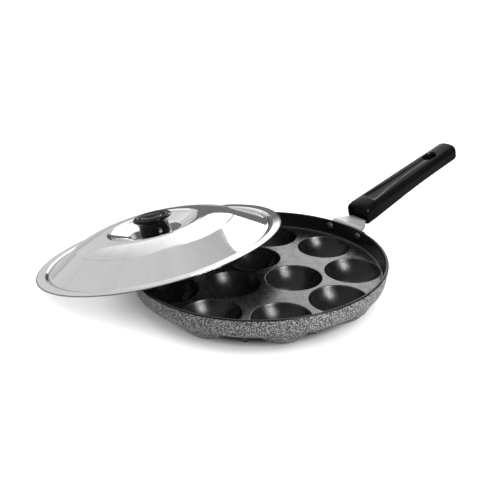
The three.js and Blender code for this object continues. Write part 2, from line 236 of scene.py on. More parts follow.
# --------------------------------------------------------------------- materials
class Paint:
    """A material with a Principled shader, and short ways to add nodes to it."""

    def __init__(self, name, **sockets):
        self.mat = bpy.data.materials.new(name)
        self.mat.use_nodes = True
        self.nt = self.mat.node_tree
        self.nt.nodes.clear()
        self.out = self.nt.nodes.new("ShaderNodeOutputMaterial")
        self.bsdf = self.nt.nodes.new("ShaderNodeBsdfPrincipled")
        self.nt.links.new(self.bsdf.outputs[0], self.out.inputs[0])
        for k, v in sockets.items():
            self.bsdf.inputs[k.replace("_", " ")].default_value = v
        self.coord = self.nt.nodes.new("ShaderNodeTexCoord").outputs["Object"]

    def link(self, a, b):
        self.nt.links.new(a, b)

    def to(self, socket, value):
        self.link(value, self.bsdf.inputs[socket])

    def node(self, kind, **props):
        n = self.nt.nodes.new(kind)
        for k, v in props.items():
            setattr(n, k, v)
        return n

    def mapping(self, scale=(1, 1, 1), source=None):
        n = self.node("ShaderNodeMapping")
        n.inputs["Scale"].default_value = scale
        self.link(source or self.coord, n.inputs["Vector"])
        return n.outputs[0]

    def noise(self, scale, detail=2.0, rough=0.5, source=None, distortion=0.0):
        n = self.node("ShaderNodeTexNoise")
        n.inputs["Scale"].default_value = scale
        n.inputs["Detail"].default_value = detail
        n.inputs["Roughness"].default_value = rough
        n.inputs["Distortion"].default_value = distortion
        self.link(source or self.coord, n.inputs["Vector"])
        return n.outputs["Fac"]

    def cells(self, scale, feature="F1", output="Distance", source=None, smooth=None, random=1.0):
        n = self.node("ShaderNodeTexVoronoi", feature=feature)
        n.inputs["Scale"].default_value = scale
        n.inputs["Randomness"].default_value = random
        if smooth is not None:
            n.inputs["Smoothness"].default_value = smooth
        self.link(source or self.coord, n.inputs["Vector"])
        return n.outputs[output]

    def ramp(self, value, *stops, interpolation="LINEAR"):
        n = self.node("ShaderNodeValToRGB")
        n.color_ramp.interpolation = interpolation
        e = n.color_ramp.elements
        while len(e) < len(stops):
            e.new(0.5)
        for i, (p, c) in enumerate(stops):
            e[i].position = p
            c = (c, c, c) if isinstance(c, (int, float)) else c
            e[i].color = (*c, 1.0)
        self.link(value, n.inputs[0])
        return n.outputs[0]

    def span(self, value, a, b, c, d):
        n = self.node("ShaderNodeMapRange")
        for k, v in zip(("From Min", "From Max", "To Min", "To Max"), (a, b, c, d)):
            n.inputs[k].default_value = v
        self.link(value, n.inputs["Value"])
        return n.outputs[0]

    def math(self, op, a, b=0.5):
        n = self.node("ShaderNodeMath", operation=op)
        for i, v in enumerate((a, b)):
            if isinstance(v, (int, float)):
                n.inputs[i].default_value = v
            else:
                self.link(v, n.inputs[i])
        return n.outputs[0]

    def mix(self, fac, a, b, blend="MIX"):
        n = self.node("ShaderNodeMix", data_type="RGBA", blend_type=blend)
        for s, v in ((n.inputs[0], fac), (n.inputs[6], a), (n.inputs[7], b)):
            if isinstance(v, (int, float)):
                s.default_value = v if s.type == "VALUE" else (v, v, v, 1)
            elif isinstance(v, tuple):
                s.default_value = (*v, 1)
            else:
                self.link(v, s)
        return n.outputs[2]

    def bump(self, height, strength, distance, under=None):
        n = self.node("ShaderNodeBump")
        n.inputs["Strength"].default_value = strength
        n.inputs["Distance"].default_value = distance
        self.link(height, n.inputs["Height"])
        if under is not None:
            self.link(under, n.inputs["Normal"])
        return n.outputs[0]

    def radial(self):
        """Distance from the local z axis, the angle around it, and the height along it."""
        sep = self.node("ShaderNodeSeparateXYZ")
        self.link(self.coord, sep.inputs[0])
        x, y, z = sep.outputs
        r = self.math("SQRT", self.math("ADD", self.math("MULTIPLY", x, x), self.math("MULTIPLY", y, y)))
        a = self.math("ARCTAN2", y, x)
        return r, a, z

    def vector(self, x, y, z):
        n = self.node("ShaderNodeCombineXYZ")
        for i, v in enumerate((x, y, z)):
            if isinstance(v, (int, float)):
                n.inputs[i].default_value = v
            else:
                self.link(v, n.inputs[i])
        return n.outputs[0]


def inside_coat():
    p = Paint("pan_inside_coat", Metallic=0.0, IOR=1.5)
    fleck = p.ramp(p.cells(1500.0, output="Color"), (0.0, 0.0), (0.86, 0.0), (1.0, 1.0))
    cloud = p.noise(55.0, 3.0, 0.55)
    base = p.ramp(cloud, (0.3, (0.0026, 0.0026, 0.0027)), (0.7, (0.0046, 0.0046, 0.0047)))
    p.to("Base Color", p.mix(p.math("MULTIPLY", fleck, 0.2), base, (0.045, 0.045, 0.046)))
    p.to("Roughness", p.span(p.noise(140.0, 4.0, 0.6), 0.3, 0.7, 0.21, 0.35))
    # the specular level goes by height as painted light: lowered in the cavities and on the lip as painted shade,
    # raised where the wall starts as a painted highlight line
    z = p.radial()[2]
    p.to("Specular IOR Level", p.ramp(p.span(z, 0.0, 0.04, 0.0, 1.0), (0.46, 0.29), (0.5, 0.5), (0.508, 0.5), (0.516, 0.9), (0.545, 0.9), (0.58, 0.5), (0.83, 0.5), (0.865, 0.12)))
    grain = p.bump(p.noise(950.0, 3.0, 0.6), 0.55, 0.00012)
    p.to("Normal", p.bump(p.noise(260.0, 2.0, 0.5), 0.22, 0.0003, grain))
    return p.mat


def hammered_coat():
    p = Paint("pan_hammered_coat", Metallic=0.25, IOR=1.5)
    warp = p.noise(420.0, 2.0, 0.5)
    moved = p.node("ShaderNodeVectorMath", operation="ADD")
    push = p.node("ShaderNodeVectorMath", operation="SCALE")
    push.inputs["Scale"].default_value = 0.0012
    noise = p.node("ShaderNodeTexNoise")
    noise.inputs["Scale"].default_value = 600.0
    noise.inputs["Detail"].default_value = 2.0
    p.link(p.coord, noise.inputs["Vector"])
    p.link(noise.outputs["Color"], push.inputs[0])
    p.link(p.coord, moved.inputs[0])
    p.link(push.outputs[0], moved.inputs[1])
    v = moved.outputs[0]
    dimple = p.cells(830.0, "SMOOTH_F1", source=v, smooth=0.2)
    fine = p.noise(1300.0, 2.0, 0.6)
    tone = p.ramp(
        p.math("ADD", p.math("MULTIPLY", dimple, 0.75), p.math("MULTIPLY", p.math("SUBTRACT", fine, 0.5), 0.55)),
        (0.08, (0.56, 0.56, 0.564)),
        (0.24, (0.25, 0.25, 0.252)),
        (0.42, (0.052, 0.052, 0.0525)),
        (0.62, (0.012, 0.012, 0.0122)),
    )
    p.to("Base Color", p.mix(p.span(warp, 0.3, 0.7, 0.0, 0.15), tone, (0.115, 0.115, 0.116)))
    p.to("Roughness", p.span(fine, 0.3, 0.7, 0.34, 0.52))
    p.to("Normal", p.bump(p.math("ADD", dimple, p.math("MULTIPLY", fine, 0.3)), 0.55, 0.0005))
    return p.mat


def polished_steel():
    p = Paint("lid_polished_steel", Metallic=1.0)
    r, a, z = p.radial()
    rings = p.noise(1.0, 3.0, 0.6, p.vector(p.math("MULTIPLY", r, 900.0), p.math("MULTIPLY", a, 1.2), 0.0))
    haze = p.noise(22.0, 3.0, 0.5)
    spokes = p.noise(1.0, 3.0, 0.55, p.vector(p.math("MULTIPLY", r, 12.0), p.math("MULTIPLY", a, 5.0), 3.0))
    base = p.ramp(p.math("ADD", p.math("MULTIPLY", rings, 0.25), p.math("MULTIPLY", spokes, 0.75)), (0.32, (0.665, 0.667, 0.67)), (0.68, (0.735, 0.737, 0.74)))
    # the groove and the sheared edge are painted darker than the rest: painted shade in the groove and a painted dark
    # outline along the edge
    lit_part = p.ramp(p.span(r, 0.1, 0.12, 0.0, 1.0), (0.35, 1.0), (0.40, 0.28), (0.43, 0.28), (0.48, 1.0), (0.92, 1.0), (0.955, 0.15))
    # painted shade: the base colour goes to dark grey in the groove and at the edge
    p.to("Base Color", p.mix(lit_part, (0.05, 0.05, 0.05), base))
    p.to("Roughness", p.math("ADD", p.span(rings, 0.3, 0.7, 0.035, 0.06), p.span(haze, 0.35, 0.7, 0.0, 0.03)))
    p.to("Normal", p.bump(rings, 0.001, 0.0001))
    return p.mat


def bright_steel():
    p = Paint("bracket_bright_steel", Metallic=0.35, IOR=1.5)
    brushed = p.noise(1.0, 4.0, 0.6, p.mapping((60.0, 1600.0, 60.0)))
    patch = p.noise(120.0, 2.0, 0.5)
    p.to("Base Color", p.ramp(brushed, (0.25, (0.31, 0.31, 0.312)), (0.75, (0.41, 0.41, 0.412))))
    p.to("Roughness", p.math("ADD", p.span(brushed, 0.3, 0.7, 0.33, 0.42), p.span(patch, 0.4, 0.7, 0.0, 0.06)))
    p.to("Normal", p.bump(brushed, 0.06, 0.0001))
    return p.mat


def sheared_steel():
    p = Paint("bracket_sheared_edge", Metallic=0.35, IOR=1.5)
    drag = p.noise(1.0, 4.0, 0.6, p.mapping((900.0, 900.0, 260.0)))
    p.to("Base Color", p.ramp(drag, (0.25, (0.020, 0.020, 0.0205)), (0.6, (0.045, 0.045, 0.046)), (0.8, (0.10, 0.10, 0.101))))
    p.to("Roughness", p.span(drag, 0.3, 0.7, 0.42, 0.56))
    p.to("Normal", p.bump(drag, 0.12, 0.0001))
    return p.mat


def rivet_coat():
    p = Paint("rivet_coated_metal", Metallic=0.35, IOR=1.5)
    wear = p.noise(700.0, 4.0, 0.65)
    p.to("Base Color", p.ramp(wear, (0.35, (0.016, 0.016, 0.0165)), (0.6, (0.035, 0.035, 0.036)), (0.8, (0.13, 0.13, 0.132))))
    p.to("Roughness", p.span(wear, 0.3, 0.75, 0.24, 0.36))
    p.to("Normal", p.bump(p.noise(1500.0, 2.0, 0.5), 0.25, 0.0001))
    return p.mat


def satin_plastic():
    p = Paint("grip_satin_plastic", Metallic=0.0, IOR=1.48)
    # the specular level is painted by place: a painted sheen in the scoop, and painted shade on the ends and on the
    # land on the far side of the scoop
    sep = p.node("ShaderNodeSeparateXYZ")
    p.link(p.coord, sep.inputs[0])
    x, y = sep.outputs[0], sep.outputs[1]
    way = p.span(x, 0.0, 0.15, 0.0, 1.0)
    lip = p.ramp(way, (0.1, 0.43), (0.16, 0.43), (0.213, 0.375), (0.28, 0.31), (0.367, 0.25), (0.5, 0.19), (0.633, 0.175), (0.78, 0.19), (0.86, 0.7))
    lip = p.math("MULTIPLY", lip, 0.02)
    # painted shade: the land on the far side of the scoop reflects less
    land = p.span(p.math("SUBTRACT", y, lip), 0.0, 0.0014, 1.0, 0.3)
    # painted shade: the ends reflect less
    along = p.ramp(way, (0.06, 0.5), (0.113, 0.55), (0.122, 1.0), (0.8, 1.0), (0.88, 0.62))
    scoop = p.span(p.math("SUBTRACT", lip, p.math("ABSOLUTE", y)), -0.0004, 0.0004, 0.0, 1.0)
    scoop = p.math("MULTIPLY", scoop, p.ramp(way, (0.113, 0.0), (0.122, 1.0), (0.76, 1.0), (0.8, 0.0)))
    # painted sheen: the scoop reflects more
    scoop_sheen = p.math("ADD", p.math("MULTIPLY", scoop, 0.3), 1.0)
    p.to("Specular IOR Level", p.math("MULTIPLY", p.math("MULTIPLY", along, land), p.math("MULTIPLY", scoop_sheen, 0.10)))
    flow = p.noise(1.0, 3.0, 0.55, p.mapping((35.0, 160.0, 160.0)))
    grain = p.noise(1800.0, 3.0, 0.6)
    p.to("Base Color", p.ramp(flow, (0.3, (0.0017, 0.0017, 0.0018)), (0.7, (0.0029, 0.0029, 0.0030))))
    p.to("Roughness", p.span(flow, 0.3, 0.7, 0.21, 0.28))
    p.to("Normal", p.bump(grain, 0.16, 0.00008))
    return p.mat


def gloss_plastic():
    p = Paint("knob_gloss_plastic", Metallic=0.0, IOR=1.5)
    p.bsdf.inputs["Specular IOR Level"].default_value = 0.13
    r, a, z = p.radial()
    turn = p.noise(1.0, 2.0, 0.5, p.vector(p.math("MULTIPLY", r, 500.0), p.math("MULTIPLY", a, 0.8), p.math("MULTIPLY", z, 500.0)))
    dust = p.noise(900.0, 4.0, 0.7)
    p.to("Base Color", p.ramp(dust, (0.3, (0.0014, 0.0014, 0.0015)), (0.75, (0.0030, 0.0030, 0.0032))))
    p.to("Roughness", p.math("ADD", p.span(turn, 0.3, 0.7, 0.03, 0.07), p.span(dust, 0.5, 0.8, 0.0, 0.04)))
    p.to("Normal", p.bump(turn, 0.06, 0.0001))
    return p.mat


def plated_steel():
    p = Paint("fastener_plated_steel", Metallic=1.0)
    r, a, z = p.radial()
    turn = p.noise(1.0, 3.0, 0.6, p.vector(p.math("MULTIPLY", r, 2500.0), p.math("MULTIPLY", a, 1.0), p.math("MULTIPLY", z, 1200.0)))
    spot = p.noise(500.0, 3.0, 0.6)
    p.to("Base Color", p.ramp(spot, (0.3, (0.55, 0.55, 0.56)), (0.7, (0.72, 0.72, 0.73))))
    p.to("Roughness", p.span(turn, 0.3, 0.7, 0.22, 0.38))
    p.to("Normal", p.bump(turn, 0.08, 0.0001))
    return p.mat


def turned_brass():
    p = Paint("insert_turned_brass", Metallic=1.0)
    r, a, z = p.radial()
    turn = p.noise(1.0, 3.0, 0.6, p.vector(p.math("MULTIPLY", r, 2500.0), p.math("MULTIPLY", a, 1.0), p.math("MULTIPLY", z, 1500.0)))
    p.to("Base Color", p.ramp(turn, (0.3, (0.62, 0.47, 0.22)), (0.7, (0.78, 0.62, 0.34))))
    p.to("Roughness", p.span(turn, 0.3, 0.7, 0.25, 0.4))
    p.to("Normal", p.bump(turn, 0.08, 0.0001))
    return p.mat


INSIDE = inside_coat()
HAMMERED = hammered_coat()
LID_STEEL = polished_steel()
BRACKET_STEEL = bright_steel()
BRACKET_EDGE = sheared_steel()
RIVET_COAT = rivet_coat()
GRIP_PLASTIC = satin_plastic()
KNOB_PLASTIC = gloss_plastic()
PLATED = plated_steel()
BRASS = turned_brass()


# -------------------------------------------------------------------- pan casting
CAVITIES = [(84.62, 1.19 + 40 * k) for k in range(9)] + [(32.39, 60.02 + 120 * k) for k in range(3)]
CAVITIES = [(r * math.cos(a * DEG), r * math.sin(a * DEG)) for r, a in CAVITIES]
LEGS = [(86.0 * math.cos((21.19 + 40 * k) * DEG), 86.0 * math.sin((21.19 + 40 * k) * DEG)) for k in range(9)]
FLOOR_Z, CAV_R, CAV_DEPTH, CAV_WALL = 20.3, 25.4, 16.6, 2.9
RI = (CAV_R**2 + CAV_DEPTH**2) / (2 * CAV_DEPTH)
RO = RI + CAV_WALL
CZ = FLOOR_Z - CAV_DEPTH + RI


def smooth_min(a, b, k):
    h = np.clip(0.5 + 0.5 * (b - a) / k, 0, 1)
    return b * (1 - h) + a * h - k * h * (1 - h)


def pan_casting():
    n = 288
    edge_r = 112.0
    wall = soft(
        [(96, 17.3), (109.3, 17.3), (111.2, 18.2), (112.7, 20.2), (113.8, 24.4), (114.6, 29.5), (115.0, 34.2),
         (114.75, 35.0), (114.2, 35.5), (112.8, 35.5), (112.25, 35.0), (112.0, 34.2), (111.35, 21.9), (111.0, 20.8), (110.2, 20.3), (96, 20.3)],
        0.1, 0.42,
    )
    top = int(np.argmax(wall[:, 1]))
    start = int(np.argmax(wall[:, 0] >= edge_r))
    stop = top + int(np.argmax(wall[top:, 0] <= 109.2))
    low = wall[: start + 1]
    edge_z = float(np.interp(edge_r, low[:, 0], low[:, 1]))
    ring = thin_out(np.vstack([[(edge_r, edge_z)], wall[start + 1 : stop + 1]]), 7.0, 3.0)
    crest = int(np.argmax(ring[:, 1]))
    verts, faces, seg = lathe([tuple(p) for p in ring], n)
    ids = [1 if s < crest - 1 and ring[s][1] < 34.3 else 0 for s in seg]

    # the plate between the walls is one flat face; the cavities are cut into it below
    faces.append(list(range(len(verts) - n, len(verts))))
    ids.append(0)

    # underside: plate, cups and legs run into each other with the fillets of a casting
    pts = []

    def circle(cx, cy, r, count, turn=0.0):
        for j in range(count):
            a = 2 * math.pi * (j + turn) / count
            yield cx + r * math.cos(a), cy + r * math.sin(a)

    def near(p, places):
        return min(math.hypot(p[0] - c[0], p[1] - c[1]) for c in places)

    edge = [(edge_r * math.cos(2 * math.pi * j / n), edge_r * math.sin(2 * math.pi * j / n)) for j in range(n)]
    pts += edge
    for i, r in enumerate((111.5, 110.9, 110.2, 109.4, 108.5)):
        pts += [p for p in circle(0, 0, r, n, 0.5 * ((i + 1) % 2)) if near(p, LEGS) > 5.4]
    for c in CAVITIES:
        for i, r in enumerate([0.0, 2, 4, 6, 8, 10, 12, 14, 16, 18, 20, 22, 23.5, 24.6, 25.5, 26.3, 27.0, 27.7, 28.4, 29.2, 30.2]):
            count = 1 if r == 0 else max(8, int(2 * math.pi * r / (2.2 if r < 23 else 1.8)))
            for p in circle(*c, r, count, 0.5 * (i % 2)):
                if math.hypot(*p) < 107.6 and near(p, LEGS) > 5.4 and near(p, CAVITIES) > r - 0.25:
                    pts.append(p)
    for c in LEGS:
        pts.append(c)
        for r, count in ((1.3, 8), (2.2, 20), (2.42, 20), (2.5, 20), (2.7, 20), (2.95, 20), (3.2, 20), (3.6, 20), (4.2, 20), (5.0, 20)):
            pts += list(circle(*c, r, count))
    step = 2.6
    for iy in range(-42, 43):
        for ix in range(-42, 43):
            p = ((ix + 0.5 * (iy % 2)) * step, iy * step * 0.866)
            if math.hypot(*p) < 107.0 and near(p, CAVITIES) > 31.2 and near(p, LEGS) > 6.2:
                pts.append(p)
    flat, _, tris, origin, _, _ = delaunay_2d_cdt([Vector(p) for p in pts], [], [], 0, 1e-5, True)
    q = np.array([(v.x, v.y) for v in flat])
    big = np.hypot(q[:, 0], q[:, 1])
    z = np.interp(big, low[:, 0], low[:, 1], left=17.3)
    for c in CAVITIES:
        r = np.hypot(q[:, 0] - c[0], q[:, 1] - c[1])
        rc = np.minimum(r, 28.5)
        cup = CZ - np.sqrt(RO**2 - rc**2) + (r - rc) * 28.5 / math.sqrt(RO**2 - 28.5**2)
        cup = cup + 3.6 * smoothstep(big, 109.0, edge_r)
        z = smooth_min(z, cup, 2.4)
    for c in LEGS:
        r = np.hypot(q[:, 0] - c[0], q[:, 1] - c[1])
        leg = np.interp(r, [0, 2.2, 2.42, 2.5, 3.2, 4.2, 6.0], [0, 0, 0.1, 0.4, 15.6, 19.5, 28])
        z = np.where(r < 2.45, np.minimum(z, leg), smooth_min(z, leg, 1.2))
    z = np.maximum(z, 0.0)
    edge_now = big > edge_r - 1e-3
    z[edge_now] = edge_z
    base = len(verts)
    verts = [*verts, *((x, y, h) for (x, y), h in zip(q, z))]
    for t in tris:
        faces.append([base + v for v in t])
        ids.append(1)
    ob = piece("pan_casting", np.array(verts), faces, [INSIDE, HAMMERED], PAN, ids)
    bm = bmesh.new()
    bm.from_mesh(ob.data)
    bmesh.ops.remove_doubles(bm, verts=bm.verts, dist=2e-6)
    bmesh.ops.recalc_face_normals(bm, faces=bm.faces)
    bm.to_mesh(ob.data)
    bm.free()

    # cavities: a spherical bowl with a rounded lip
    slope = math.acos((CZ - FLOOR_Z) / RI)
    lip = 1.1
    t = lip * math.tan(slope / 2)
    prof = []
    a_end = slope - t / RI
    for k in range(19):
        a = a_end * k / 18
        prof.append((RI * math.sin(a), CZ - RI * math.cos(a)))
    for k in range(1, 7):
        a = slope * (1 - k / 6)
        prof.append((CAV_R + t - lip * math.sin(a), FLOOR_Z - lip + lip * math.cos(a)))
    prof += [(CAV_R + t, FLOOR_Z + 2.4), (0.0, FLOOR_Z + 2.4)]
    prof[0] = (0.0, prof[0][1])
    cv, cf = [], []
    v, f, _ = lathe(prof, 96)
    for c in CAVITIES:
        o = len(cv)
        cv += [(x + c[0], y + c[1], zz) for x, y, zz in v]
        cf += [[o + i for i in face] for face in f]
    bowls = piece("bowl_cutters", cv, cf, [INSIDE, HAMMERED], PAN)
    cut(ob, [bowls])
    cut(ob, [rivet_drill(s, 1.9) for s in (-1, 1)])
    return shade(ob, 42)


def rivet_axis(side):
    """Frame whose z runs outwards along a rivet, from the pan's axis at the rivet's height."""
    return (
        PAN
        @ Matrix.Rotation(side * 9.68 * DEG, 4, "Z")
        @ Matrix.Translation(Vector((0, 0, 30.3)) * MM)
        @ Matrix.Rotation(90 * DEG, 4, "Y")
    )


def rivet_drill(side, radius):
    v, f, _ = lathe([(0, 103), (radius, 103), (radius, 127), (0, 127)], 32)
    return piece("drill", v, f, [INSIDE], rivet_axis(side))


# -------------------------------------------------------------------- rivets
def rivet(side, name):
    inner, outer = 111.55, 117.3
    prof = [(0.0, inner - 2.55)]
    for k in range(1, 11):
        a = k / 10 * 0.5 * math.pi
        prof.append((3.6 * math.sin(a) ** 0.85, inner - 0.25 - 2.3 * math.cos(a) ** 1.15))
    prof += [(3.6, inner), (1.6, inner + 0.05), (1.6, outer - 0.05), (3.6, outer)]
    for k in range(10, 0, -1):
        a = k / 10 * 0.5 * math.pi
        prof.append((3.6 * math.sin(a) ** 0.85, outer + 0.25 + 2.2 * math.cos(a) ** 1.15))
    prof.append((0.0, outer + 2.45))
    return turned(name, prof, 40, [RIVET_COAT], rivet_axis(side), angle=50)


# -------------------------------------------------------------------- bracket
def bracket():
    t = 1.8
    tilt = 13.53 * DEG
    ct, st = math.cos(tilt), math.sin(tilt)

    def at(u, w):
        return 129.06 + u * ct - w * st, 44.245 + u * st + w * ct

    mid = rounded(
        [(116.25, 23.5), (116.25, 35.9, 1.9), (122.5, 35.9, 6.0), (*at(0.0, -7.1), 8.0), at(37.0, -7.1)], 8
    )
    # even out the long runs
    path = [np.array(mid[0])]
    for p in mid[1:]:
        p = np.array(p)
        gap = np.linalg.norm(p - path[-1])
        a = path[-1]
        for k in range(1, int(gap / 1.6) + 1):
            path.append(a + (p - a) * k / (int(gap / 1.6) + 1))
        path.append(p)
    path = np.array(path)
    tan = np.gradient(path, axis=0)
    tan /= np.linalg.norm(tan, axis=1)[:, None]
    nor = np.c_[-tan[:, 1], tan[:, 0]]

    def half(p):
        rho, zz = p
        if rho < 117.6:
            return 24.6 + (19.3 - 24.6) * float(smoothstep(zz, 31.2, 34.4))
        return float(np.interp(rho, [117.6, 119.5, 121.5, 124.0, 126.4, 128.5, 130.6, 161.0, 164.0, 166.7], [19.3, 18.7, 17.4, 15.6, 13.6, 11.6, 10.0, 10.0, 8.6, 5.0]))

    across = np.linspace(-1, 1, 33)
    verts = []
    for side in (1, -1):
        for p, nn in zip(path, nor):
            h = half(p)
            rho, zz = p + side * nn * t / 2
            straight = float(smoothstep(p[0], 121.0, 129.0))
            for v in across:
                y = v * h
                sag = rho - math.sqrt(rho * rho - y * y)
                verts.append((rho - sag * (1 - straight), y, zz))
    m, k = len(path), len(across)
    faces = []
    for i in range(m - 1):
        for j in range(k - 1):
            a, b, c, d = i * k + j, i * k + j + 1, (i + 1) * k + j + 1, (i + 1) * k + j
            faces.append([a, b, c, d])
            faces.append([m * k + d, m * k + c, m * k + b, m * k + a])
        for j in (0, k - 1):
            faces.append([i * k + j, (i + 1) * k + j, m * k + (i + 1) * k + j, m * k + i * k + j])
    for i in (0, m - 1):
        for j in range(k - 1):
            faces.append([i * k + j, i * k + j + 1, m * k + i * k + j + 1, m * k + i * k + j])
    shorn = [1 if len({(v % (m * k)) for v in f}) == 2 else 0 for f in faces]
    ob = piece("bracket_sheet", verts, faces, [BRACKET_STEEL, BRACKET_EDGE], PAN, shorn)
    bevel(ob, 0.35, 3, 50)
    drills = [rivet_drill(s, 1.9) for s in (-1, 1)]
    v, f, _ = lathe([(0, -13), (2.4, -13), (2.4, -1), (0, -1)], 32)
    drills.append(piece("drill", v, f, [BRACKET_STEEL], GRIP @ Matrix.Translation(Vector((25, 0, 0)) * MM)))
    cut(ob, drills)
    return shade(ob, 40)


# -------------------------------------------------------------------- grip
GRIP_L = 149.0
_u = np.arange(0, 149.1, 1.0)
_w = np.interp(_u, [0, 8, 20, 30, 40, 50, 60, 75, 90, 110, 130, 149], [10.8, 10.7, 10.3, 9.7, 9.25, 8.8, 8.2, 7.75, 7.5, 7.5, 7.8, 8.0])
_k = np.exp(-0.5 * (np.arange(-12, 13) / 4.0) ** 2)
GRIP_LOW = (_u, np.convolve(np.r_[np.full(12, _w[0]), _w, np.full(12, _w[-1])], _k / _k.sum(), "valid"))


# thumb scoop: along, half width, depth
_s = np.array([(0, 8.7, 2.7), (17, 8.6, 2.6), (24, 8.6, 2.6), (32, 7.5, 2.4), (42, 6.2, 2.1), (55, 5.0, 1.7), (75, 3.8, 1.3), (95, 3.5, 1.1), (107, 3.8, 1.0), (149, 3.8, 0.9)]).T
SCOOP = [np.convolve(np.pad(np.interp(_u, _s[0], v), 12, mode="edge"), _k / _k.sum(), "valid") for v in _s[1:]]


def grip_section(x):
    tail = GRIP_L - x
    hw = (28.0 + (23.4 - 28.0) * x / GRIP_L) / 2
    top = 8.5
    lo = float(np.interp(x, *GRIP_LOW))
    if tail < 6.0:
        hw -= 6.0 - math.sqrt(max(0.0, 36.0 - (6.0 - tail) ** 2))
    if tail < 3.4:
        d = 3.4 - math.sqrt(max(0.0, 3.4**2 - (3.4 - tail) ** 2))
        top -= d
        lo -= d
    if x < 9.0:
        top -= 2.6 * (1 - math.sqrt(max(0.0, 1 - ((9.0 - x) / 9.0) ** 2)))
    if x < 2.2:
        d = 2.2 - math.sqrt(max(0.0, 2.2**2 - (2.2 - x) ** 2))
        hw -= d
        lo -= d
    c = min(4.6, hw - 0.5, lo - 0.4)
    # shoulders, and the crown that meets them without a corner
    ct = min(6.0, hw - 0.5)
    sx = hw - ct
    crown = sx / math.cos(80 * DEG) + ct
    sy = top - crown + sx * math.tan(80 * DEG)
    gw = min(float(np.interp(x, _u, SCOOP[0])), hw - 1.6)
    depth = float(np.interp(x, _u, SCOOP[1]) * smoothstep(x, 17.2, 21.5) * (1 - smoothstep(x, 118, 126)))
    # one half, from the middle of the underside round to the lip of the scoop
    half = [(y, -lo) for y in np.linspace(0, hw - c, 7)]
    for k in range(1, 9):
        a = (-90 + 90 * k / 8) * DEG
        half.append((hw - c + c * math.cos(a), -lo + c + c * math.sin(a)))
    for k in range(1, 5):
        half.append((hw, -lo + c + (sy + lo - c) * k / 4))
    arc = ct * 80 * DEG
    land = crown * max(0.0, 10 * DEG - math.asin(min(1.0, gw / crown)))
    for k in range(1, 21):
        t = (arc + land) * k / 20
        if t <= arc:
            a = t / ct
            half.append((sx + ct * math.cos(a), sy + ct * math.sin(a)))
        else:
            a = 10 * DEG - (t - arc) / crown
            half.append((crown * math.sin(a), top - crown + crown * math.cos(a)))
    lip = abs(half[-1][0])
    groove = []
    for k in range(1, 24):
        u = math.cos(math.pi * k / 24)
        y = lip * u
        groove.append((y, top - crown + math.sqrt(crown**2 - y * y) - depth * (1 - u * u) ** 0.65))
    other = [(-y, z) for y, z in half[:0:-1]]
    return half + groove + other


def stadium(x0, x1, r0, r1, count):
    """Outline of a long hole whose two round ends may differ, as (x, y)."""
    d = x1 - x0
    a = math.acos((r0 - r1) / d)
    out = []
    for k in range(count + 1):
        b = -a + 2 * a * k / count
        out.append((x1 + r1 * math.cos(b), r1 * math.sin(b)))
    for k in range(count + 1):
        b = a + (2 * math.pi - 2 * a) * k / count
        out.append((x0 + r0 * math.cos(b), r0 * math.sin(b)))
    return out


def prism(name, levels, material, matrix):
    """A closed solid through outlines of equal length: a list of lists of points."""
    n = len(levels[0])
    verts = [p for lv in levels for p in lv]
    faces = [list(range(n))[::-1], list(range(n * (len(levels) - 1), n * len(levels)))]
    for i in range(len(levels) - 1):
        for j in range(n):
            k = (j + 1) % n
            faces.append([i * n + j, i * n + k, (i + 1) * n + k, (i + 1) * n + j])
    return piece(name, verts, faces, [material], matrix)


def round_box(hy, hz, r, zc, seg=6):
    out = []
    for cy, cz, a0 in ((hy - r, hz - r, 0), (-hy + r, hz - r, 90), (-hy + r, -hz + r, 180), (hy - r, -hz + r, 270)):
        for k in range(seg + 1):
            a = (a0 + 90 * k / seg) * DEG
            out.append((cy + r * math.cos(a), zc + cz + r * math.sin(a)))
    return out


